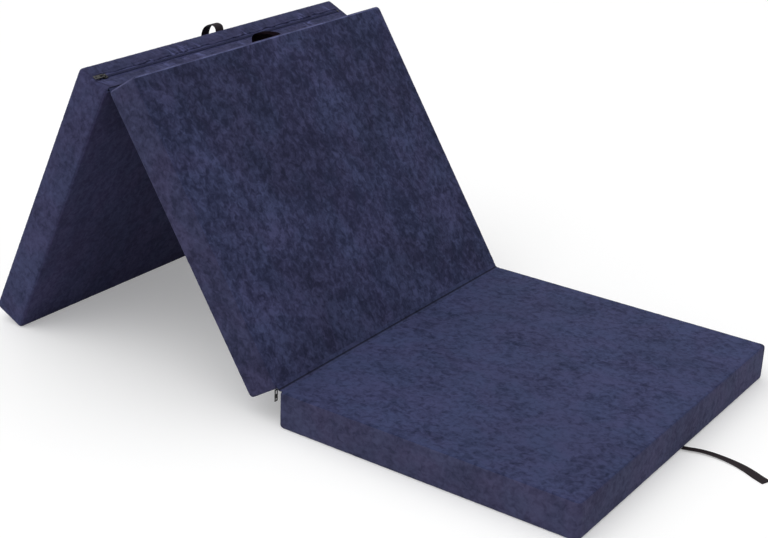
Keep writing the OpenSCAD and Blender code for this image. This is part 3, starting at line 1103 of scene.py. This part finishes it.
@dataclass
class Panel:
    """One foam panel: its block of foam and the sewn cover around it."""

    stand: Stand
    number: int
    finishes: Finishes
    shape: CoverShape = field(init=False)
    grid: BlockGrid = field(init=False)

    def __post_init__(self) -> None:
        """Sets the cover's surface and its grid."""
        s = self.stand.panel
        place = self.stand.place(self.number)
        self.shape = CoverShape(s, self.stand.zip, self.number, place, self.number == 1)
        ws = np.array([*NEAR_SEAM, *(s.thickness - x for x in reversed(NEAR_SEAM))])
        us, ys = lines(s.length, NEAR_EDGE, s.grid), lines(s.width, NEAR_EDGE, s.grid_across)
        self.grid = BlockGrid(us, ys - s.width / 2, ws)

    def build(self) -> None:
        """Builds the foam and the three sewn parts of the cover."""
        self.foam()
        self.face(Face.TOP)
        self.face(Face.BASE)
        self.band()

    def face(self, face: Face) -> None:
        """Builds a large face of the cover.

        Args:
            face: Which face.
        """
        s = self.stand.panel
        block, faces = self.grid.face(s.thickness if face is Face.TOP else 0.0)
        mesh = self.shape.at(block), faces
        self.cover(face.value, mesh, self.finishes.velour[self.number], "velour")

    def band(self) -> None:
        """Builds the band around the sides, with the zip's opening and its turned-in lips."""
        s, z = self.stand.panel, self.stand.zip
        block, faces = self.grid.band()
        plan = self.grid.plan()
        around, low = len(plan), len(NEAR_SEAM) - 1
        inside = (plan[:, 0] == 0) & (np.abs(plan[:, 1]) < z.half + NEARLY)
        faces = [
            f for f in faces
            if not (f[0] // around == low and inside[f[0] % around] and inside[f[1] % around])
        ]
        row = np.flatnonzero(inside)
        rim = [*(low * around + row), *((low + 1) * around + row[::-1])]
        mesh = self.with_lips(self.shape.at(block), faces, rim)
        self.cover("band", mesh, self.finishes.velour_side[self.number], "velour_side")

    def with_lips(self, points: Points, faces: Faces, rim: list[int]) -> Mesh:
        """Turns the cloth in around the zip's opening.

        Args:
            points: Points of the band.
            faces: Faces of the band.
            rim: Points around the opening, in order.

        Returns:
            Points and faces of the band with its lips.
        """
        edge = points[rim]
        inward = np.zeros_like(edge)
        inward[:, 2] = np.sign(self.stand.panel.thickness / 2 - edge[:, 2])
        ends = np.abs(edge[:, 1]) > self.stand.zip.half - NEARLY
        inward[ends, 1] = -np.sign(edge[ends, 1])
        rings = [edge + inward * side * MM + np.array([deep * MM, 0, 0]) for side, deep in LIP]
        first, around = len(points), len(rim)
        turns = zip(range(around), [*range(1, around), 0])
        faces = [*faces, *((rim[j], rim[k], first + k, first + j) for j, k in turns)]
        return joined([(points, faces), (np.vstack(rings), strip_faces(len(rings), around))])

    def cover(self, part: str, mesh: Mesh, finish: bpy.types.Material,
              slot: str) -> None:
        """Makes a part of the cover.

        Args:
            part: Which part it is, as the solid's name says it.
            mesh: Its points, in the panel's frame, and faces.
            finish: Its material.
            slot: The slot's name, handed on to dress.
        """
        node = f"cover_{part}_{self.number}"
        piece = to_piece(f"{node}_velour", *mesh, self.shape.place)
        cloth = piece.modifiers.new("cloth", "SOLIDIFY")
        cloth.thickness, cloth.offset = self.stand.panel.cloth, -1
        dress(piece, slot, finish, nodes=(node,), panel=self.number)

    def foam(self) -> None:
        """Builds the block of foam inside the cover."""
        s, play, deep = self.stand.panel, 2.3 * MM, 4.7 * MM
        size = PanelSizes(
            length=s.length - play - deep, width=s.width - 2 * play, thickness=s.thickness - 2 * play,
            crown=0, side_bulge=0, end_bulge=0, edge_r=4 * MM, corner_r=9 * MM, seam_depth=0, grid=0.04,
        )
        place = self.shape.place @ Matrix.Translation((deep, 0, play))
        shape = CoverShape(size, self.stand.zip, self.number, place, True, zipped=False)
        us, ys, ws = (lines(v, NEAR_EDGE[:5], size.grid) for v in (size.length, size.width, size.thickness))
        grid = BlockGrid(us, ys - size.width / 2, ws)
        sides = grid.face(0.0), grid.face(size.thickness), grid.band()
        mesh = joined([(shape.at(block), faces) for block, faces in sides])
        piece = to_piece(f"foam_block_{self.number}", *mesh, place)
        make_closed(piece, weld=0.01 * MM)
        dress(piece, "foam", self.finishes.foam, nodes=(f"foam_core_{self.number}",), panel=self.number)


# Zips

# In millimetres. A tape's section: out from the zip's middle line and into the panel. A tooth's
# rings: across the zip and their share of its size. A stitch's rings: along it and out of the cloth.
TAPE_HALF = ((0.6, 4.3), (9.2, 4.3), (9.2, 3.5), (4.2, 3.5), (3.7, 3.3), (3.1, 3.15), (2.5, 3.3), (0.6, 3.45))
TOOTH_RINGS = ((3.0, 0.7), (2.6, 1.0), (-0.5, 1.0), (-0.95, 0.6))
STITCH_RINGS = ((-1.7, -0.35), (-1.2, 0.1), (0.0, 0.22), (1.2, 0.1), (1.7, -0.35))


@dataclass
class Zip:
    """One panel's zip: woven tapes, coil teeth, stops, slider, pull and the stitches beside it."""

    panel: Panel
    middle: float = field(init=False)

    def __post_init__(self) -> None:
        """Finds the height of the zip's middle line."""
        self.middle = self.panel.stand.panel.thickness / 2

    def build(self) -> None:
        """Builds the tapes, the teeth and the stitches, and finishes the metal parts."""
        k, finishes = self.panel.number, self.panel.finishes
        woven_parts = (
            ("zip_tape_woven", self.tapes(), "zip_tape", finishes.tape, (f"zip_tape_{k}",)),
            ("zip_coil", self.teeth(), "zip_teeth", finishes.teeth, (f"zip_chain_{k}",)),
            ("zip_topstitch", self.stitches(), "velour_side", finishes.thread, ()),
        )
        for name, mesh, slot, finish, nodes in woven_parts:
            dress(to_piece(f"{name}_{k}", *mesh, self.panel.shape.place), slot, finish, nodes=nodes, panel=k)
        for name in ("zip_stops", "zip_slider", "zip_pull"):
            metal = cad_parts[f"{name}_{k}"]
            for place in metal.material_slots:
                place.material = finishes.metal[k]
            rim = metal.modifiers.new("worn_edges", "BEVEL")
            rim.width, rim.segments, rim.limit_method = 0.18 * MM, 2, "ANGLE"
            log.info("%s_%d: finished", name, k)

    def tapes(self) -> Mesh:
        """The two woven tapes, each with the bead that holds its teeth.

        Returns:
            Their points and faces.
        """
        z = self.panel.stand.zip
        ys = np.linspace(-z.half, z.half, 130)
        both = []
        for side in (1, -1):
            ring = np.array([(u * MM, 0.0, self.middle + side * w * MM) for w, u in TAPE_HALF])
            faces = tube_faces(len(ys), len(ring))
            both.append((np.vstack([ring + [0, y, 0] for y in ys]), faces if side > 0 else flipped(faces)))
        return joined(both)

    def teeth(self) -> Mesh:
        """The coil's loops, which take turns from the two tapes.

        Returns:
            Their points and faces.
        """
        z, out, half_w, half_h = self.panel.stand.zip, 2.55, 0.52, 0.8
        angle = np.arange(6) * math.tau / 6
        shape = MM * np.vstack([
            np.stack([out + half_h * k * np.sin(angle), half_w * k * np.cos(angle), np.full(6, w)], 1)
            for w, k in TOOTH_RINGS
        ])
        tooth = flipped(tube_faces(len(TOOTH_RINGS), 6))
        rows = []
        for i in range(int(2 * (z.chain_half - MM) / z.tooth_pitch)):
            for side, shift in ((1, 0.0), (-1, z.tooth_pitch / 2)):
                y = -z.chain_half + 0.6 * MM + i * z.tooth_pitch + shift
                rows.append((shape * [1, side, side] + [0, y, self.middle], tooth))
        return joined(rows)

    def stitches(self) -> Mesh:
        """The two rows of stitches that hold the zip in the band.

        Returns:
            Their points and faces.
        """
        z, around, thread = self.panel.stand.zip, 6, 0.25 * MM
        angle = np.arange(around) * math.tau / around
        circle = thread * np.stack([np.sin(angle), 0 * angle, np.cos(angle)], 1)
        tube = tube_faces(len(STITCH_RINGS), around)
        run, up = np.array(STITCH_RINGS).T * MM
        stitches = []
        for side in (1, -1):
            w = np.full(len(run), self.middle + side * z.stitch_out)
            for c in np.arange(-z.half + 4 * MM, z.half - 3 * MM, z.stitch_pitch):
                skin = self.panel.shape.at(np.stack([0 * run, c + run, w], 1))
                skin[:, 0] -= up
                stitches.append((np.vstack([point + circle for point in skin]), tube))
        return joined(stitches)


# Folds between the panels

# The strip's line on a panel, in millimetres: back from the panel's end and up from its face
LEAF_LINE = ((6.4, -0.7), (5.4, -0.35), (4.4, -0.25), (2.5, -0.2), (0.5, -0.2), (-1.2, -0.2))
LEAVES = {
    1: ("hinge_tape_1_seat", "hinge_tape_1_back"),
    2: ("hinge_tape_2_back", "hinge_tape_2_prop"),
}


@dataclass
class FoldStrip:
    """The strip of velour that joins two panels along a fold."""

    stand: Stand
    first: int
    finish: bpy.types.Material
    crease_shade_finish: bpy.types.Material
    crease_shade_half: float = 0.0024
    half_length: float = 0.395
    thick: float = 0.0009

    def build(self) -> None:
        """Builds the strip across the fold."""
        second = self.first + 1
        near, far = self.side(self.first), self.side(second)
        route = rounded_line(np.vstack([near, far[-2::-1]]), 2)
        way = np.gradient(route, axis=0)
        way /= np.linalg.norm(way, axis=1)[:, None]
        out = np.cross(way, [0, 1, 0])
        ys = np.linspace(-self.half_length, self.half_length, 131)
        ripple = Ripple(40 + self.first, 0.02, 0.09)
        points = []
        for y in ys:
            sway = 0.15 * MM * ripple.at(np.array([[y, 0.0]]))[0]
            for side in (0.5, -0.5):
                ring = route + out * (side * self.thick + sway)
                ring[:, 1] = y
                points.append(ring if side > 0 else ring[::-1])
        faces = tube_faces(len(ys), 2 * len(route))
        piece = to_piece(f"fold_strip_{self.first}", np.vstack(points), faces)
        make_closed(piece)
        dress(piece, "velour", self.finish, self.crease_shade_finish, nodes=LEAVES[self.first])
        # Faces near the fold's deepest line take the darker copy: painted shade in the crease
        deepest = Vector(near[-1])
        for face in piece.data.polygons:
            off = face.center - deepest
            face.material_index = int(math.hypot(off.x, off.z) < self.crease_shade_half)
        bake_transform(piece)

    def side(self, number: int) -> Points:
        """The strip's line on one panel, from its edge on the velour to the crease.

        Args:
            number: The panel.

        Returns:
            The line's points.
        """
        s = self.stand
        fold = s.lean if self.first == 1 else s.lean + s.prop
        crease = s.hinge_gap + s.axis_out * math.tan(fold / 2)
        u, height = np.array([*LEAF_LINE, (0.4 - crease / MM, 0.0), (-crease / MM, 0.0)]).T * MM
        if self.first == 1:
            local = np.stack([u, 0 * u, s.panel.thickness + height], 1)
        else:
            far = number == 2
            local = np.stack([s.panel.length - u if far else u, 0 * u, -height], 1)
        return moved(local, s.place(number))


def rounded_line(line: Points, times: int) -> Points:
    """Cuts the corners of a line, and keeps its ends.

    Args:
        line: Points of the line.
        times: How often the corners are cut.

    Returns:
        The points of the rounder line.
    """
    for _ in range(times):
        cut = np.empty((2 * len(line) - 2, line.shape[1]))
        cut[::2] = 0.75 * line[:-1] + 0.25 * line[1:]
        cut[1::2] = 0.25 * line[:-1] + 0.75 * line[1:]
        line = np.vstack([line[:1], cut[1:-1], line[-1:]])
    return line


# Webbing


@dataclass
class Ribbon:
    """A length of woven webbing along a route, which may be gathered to a narrower, curled strip."""

    route: Points
    across: Points
    narrow: Points | float = 0.0
    curl: Points | float = 0.0
    width: float = 0.025
    thick: float = 0.0016
    rib: float = 0.0017
    relief: float = 0.00007
    groove: float = 0.12
    curl_height: float = 0.0032
    columns: int = 17

    def mesh(self) -> Mesh:
        """The webbing's surface.

        Returns:
            Its points and faces.
        """
        way = np.gradient(self.route, axis=0)
        way /= np.linalg.norm(way, axis=1)[:, None]
        across = self.across - way * np.sum(self.across * way, axis=1)[:, None]
        across /= np.linalg.norm(across, axis=1)[:, None]
        up = np.cross(way, across)
        run, v = run_of(self.route), np.sin(np.linspace(-math.pi / 2, math.pi / 2, self.columns))
        edge = np.sqrt(np.clip(1 - np.abs(v) ** 14, 0, 1))
        half = np.broadcast_to(self.width / 2 * (1 - self.narrow), run.shape)[:, None] * v
        bow = np.broadcast_to(self.curl, run.shape)[:, None] * v**2 * self.curl_height
        spine = self.route[:, None] + across[:, None] * half[..., None] + up[:, None] * bow[..., None]
        start = np.clip(run / (0.8 * MM), 0.25, 1)
        ends = np.sqrt(start * start[::-1])[:, None]
        points = []
        for k in (1, -1):
            wave = np.cos(math.tau * run[:, None] / self.rib + math.pi * (np.arange(self.columns) % 4 < 2))
            height = (self.thick / 2 - self.relief + self.relief * wave) * edge * ends
            height *= 1 - self.groove * hump(np.abs(v) - 0.86, 0.05)
            points.append((spine + k * up[:, None] * height[..., None])[:, ::k])
        rings = np.concatenate([points[0], points[1][:, 1:-1]], axis=1)
        return rings.reshape(-1, 3), tube_faces(len(rings), rings.shape[1])


# The lower strap in millimetres: out from panel 1's free end, across it, and up from its base
LOWER_ROUTE = (
    (-1.4, 13, 1.1), (6, 13, 1.1), (14, 15, 1), (24, 19, 0.9), (34, 22, 0.9), (46, 24, 0.9),
    (58, 25, 0.9), (70, 25, 0.9), (82, 24.5, 0.9), (94, 23, 0.9), (106, 21, 0.9), (118, 18, 0.9),
    (130, 14, 0.9), (142, 9, 0.9), (154, 3, 0.9), (166, -2, 0.9), (176, -6, 0.9),
)
# The upper strap in millimetres: along panel 3 from its zip end, and up from its top
UPPER_ROUTE = (
    (3.4, -3.4), (1.2, -1.2), (-2.3, 1.6), (-4.6, 5.4), (-4.7, 11), (-2.2, 17.4), (2.4, 22.8),
    (8.7, 27.2), (15.8, 29.8), (23.8, 30.2), (32.1, 28.7), (41, 25.6), (50, 21.6), (59, 17.2),
    (68, 12.8), (77, 8.5), (87, 4.9), (98, 3.1), (109, 2.8), (120, 2.8), (131, 2.8), (142, 2.8),
    (152, 2.8),
)
# The loop, as shares of its height and of the span between its feet
LOOP_SHAPE = (
    (0, 0), (0.16, 0.07), (0.36, 0.18), (0.57, 0.32), (0.76, 0.46), (0.91, 0.59), (0.985, 0.69),
    (1, 0.77), (0.95, 0.85), (0.8, 0.915), (0.55, 0.96), (0.28, 0.985), (0, 1),
)


@dataclass
class Straps:
    """The webbing: the two straps that tie the folded stack, and the loop at the ridge."""

    stand: Stand
    finish: bpy.types.Material
    loop_shade_finish: bpy.types.Material
    step: float = 0.0006
    upper_y: float = -0.010
    loop_y: float = -0.040
    loop_height: float = 0.024
    loop_foot: float = 0.007
    # A strap folded on itself, in plies whose inner ones fill the loop's opening with near-black webbing:
    # partly the fold of the strap, partly painted shade inside the loop
    loop_plies: tuple[float, ...] = (1.0, 0.87, 0.73, 0.59, 0.45, 0.3)

    def build(self) -> None:
        """Builds the three pieces of webbing."""
        self.lower()
        self.upper()
        self.loop()

    def strap(self, name: str, ribbon: Ribbon, number: int) -> None:
        """Makes the piece for a strap that leaves a panel.

        Args:
            name: Name of the solid that it stands for.
            ribbon: The strap's webbing.
            number: The panel.
        """
        piece = to_piece(f"{name}_webbing", *ribbon.mesh())
        make_closed(piece)
        dress(piece, "webbing", self.finish, nodes=(name,), panel=number)

    def lower(self) -> None:
        """Builds the strap on the floor, which leaves its seam gathered and folded lengthways."""
        local = np.array(LOWER_ROUTE) * MM + [self.stand.panel.length, 0, 0]
        route = smooth_route(moved(local, self.stand.place(1)), self.step)
        run = run_of(route)
        gathered = 1 - ease(run, 0.010, 0.165)
        route[:, 2] += 1.1 * MM * gathered * ease(run, 0.0, 0.012)
        across = np.cross([0, 0, 1], np.gradient(route, axis=0))
        narrow = 0.55 * gathered + 0.12 * ease(run, 0.03, 0.10)
        self.strap("closure_strap_lower", Ribbon(route, across, narrow=narrow, curl=0.9 * gathered), 1)

    def upper(self) -> None:
        """Builds the strap that arches over the ridge."""
        top, place = self.stand.panel.thickness, self.stand.place(3)
        local = np.array([(u * MM, self.upper_y, top + h * MM) for u, h in UPPER_ROUTE])
        route = smooth_route(moved(local, place), self.step)
        self.strap("closure_strap_upper", Ribbon(route, np.array(place)[:3, 1]), 3)

    def loop(self) -> None:
        """Builds the loop on the back panel's end face."""
        s, thick, root_in = self.stand.panel, 1.6 * MM, 2.0 * MM
        foot = s.length + s.end_bulge + 0.1 * MM + thick / 2
        span = s.thickness - 2 * self.loop_foot
        local = np.array([
            (foot + (self.loop_height - thick) * h, self.loop_y, s.thickness - self.loop_foot - span * t)
            for h, t in LOOP_SHAPE
        ])
        local[[0, -1], 0] -= root_in
        place = self.stand.place(2)
        root = np.array([foot - root_in, self.loop_y, s.thickness - self.loop_foot - 0.55 * span])
        plies = []
        for size in self.loop_plies:
            route = smooth_route(moved(root + (local - root) * [size, 1, size], place), self.step)
            plies.append(Ribbon(route, np.array(place)[:3, 1], narrow=0.04 * (1 - size)).mesh())
        piece = to_piece("grab_loop_webbing", *joined(plies))
        make_closed(piece)
        dress(piece, "webbing", self.loop_shade_finish, nodes=("grab_loop",), panel=2)
        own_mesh(piece)


# Stage


@dataclass(frozen=True)
class Studio:
    """The pale floor, the soft light and the camera."""

    camera_at: Triple = (1.68271122, -2.44189641, 1.42171723)
    right: Triple = (0.81749715, 0.57477761, 0.03645707)
    down: Triple = (0.24950407, -0.2963913, -0.92190017)
    forward: Triple = (-0.51908201, 0.76274694, -0.38570839)
    lens: float = 72.6125857
    world_level: float = 0.63
    world_slope: float = 0.9
    brightest: Triple = (-0.45, -0.40, 0.80)
    floor_lift: float = 0.24
    floor_half: float = 8.0
    lamp_at: Triple = (-0.2, -1.5, 2.8)
    lamp_aim: Triple = (0.1, 0.0, 0.2)
    lamp_size: tuple[float, float] = (2.6, 1.8)
    lamp_power: float = 11.0

    def camera(self) -> None:
        """Sets the camera at the photograph's viewing angle."""
        data = bpy.data.cameras.new("camera")
        data.lens, data.sensor_width, data.clip_end = self.lens, 36.0, 50.0
        camera = bpy.data.objects.new("camera", data)
        turn = Matrix([self.right, [-v for v in self.down], [-v for v in self.forward]]).transposed()
        camera.matrix_world = Matrix.Translation(self.camera_at) @ turn.to_4x4()
        bpy.context.scene.collection.objects.link(camera)
        bpy.context.scene.camera = camera
        log.info("camera: %.1f mm", self.lens)

    def floor(self) -> None:
        """Lays the floor, which shows white to the camera and keeps the shadow."""
        steps = 5
        ticks = np.linspace(-self.floor_half, self.floor_half, steps)
        grid = np.array([(x, y, 0.0) for x in ticks for y in ticks])
        piece = to_piece("studio_floor", grid, flipped(strip_faces(steps, steps, closed=False)))
        made, n, shader, _ = material("studio_floor")
        n.feed(shader, {
            "Base Color": opaque(grey(0.8)),
            "Roughness": 0.9,
            "Emission Color": opaque(grey(1.0)),
            "Emission Strength": n.product(seen_white(n), self.floor_lift),
        })
        piece.data.materials.append(made)

    def light(self) -> None:
        """Sets the even light of a white room and one soft lamp."""
        scene = bpy.context.scene
        scene.view_settings.view_transform = "Standard"
        scene.world = scene.world or bpy.data.worlds.new("studio")
        scene.world.use_nodes = True
        n = Nodes(scene.world.node_tree)
        way = n.add("TexCoord").outputs["Generated"]
        facing = n.add("VectorMath", {0: way, 1: self.brightest}, operation="DOT_PRODUCT").outputs["Value"]
        slope = n.math("MULTIPLY_ADD", facing, self.world_level * self.world_slope, self.world_level)
        level = n.add("Mix", {0: seen_white(n), 2: n.math("MAXIMUM", slope, 0.0), 3: 1.0}).outputs[0]
        n.feed(n.tree.nodes["Background"], {"Color": opaque(grey(1.0)), "Strength": level})
        data = bpy.data.lights.new("soft_lamp", "AREA")
        data.shape, data.energy = "RECTANGLE", self.lamp_power
        data.size, data.size_y = self.lamp_size
        lamp = bpy.data.objects.new("soft_lamp", data)
        at = Vector(self.lamp_at)
        aim = (Vector(self.lamp_aim) - at).to_track_quat("-Z", "Y")
        lamp.matrix_world = Matrix.Translation(at) @ aim.to_matrix().to_4x4()
        scene.collection.objects.link(lamp)


def seen_white(n: Nodes) -> bpy.types.NodeSocket:
    """Tells the rays that see a surface from those that it only lights.

    Args:
        n: Builder of the tree that asks.

    Returns:
        1 for a camera, glossy or transmission ray, and 0 for any other.
    """
    rays = n.add("LightPath").outputs
    shiny = n.math("MAXIMUM", rays["Is Glossy Ray"], rays["Is Transmission Ray"])
    return n.math("MAXIMUM", rays["Is Camera Ray"], shiny)


def main() -> None:
    """Builds the camera, the straps, the panels with their zips and folds, and the stage."""
    logging.basicConfig(level=logging.INFO, format="%(name)s: %(message)s", stream=sys.stdout)
    stand, studio = Stand(), Studio()
    studio.camera()
    finishes = Finishes()
    Straps(stand, finishes.webbing, finishes.loop).build()
    for number in (1, 2, 3):
        panel = Panel(stand, number, finishes)
        panel.build()
        Zip(panel).build()
    for first in (1, 2):
        FoldStrip(stand, first, finishes.fold, finishes.crease).build()
    studio.floor()
    studio.light()


if __name__ == "__main__":
    main()
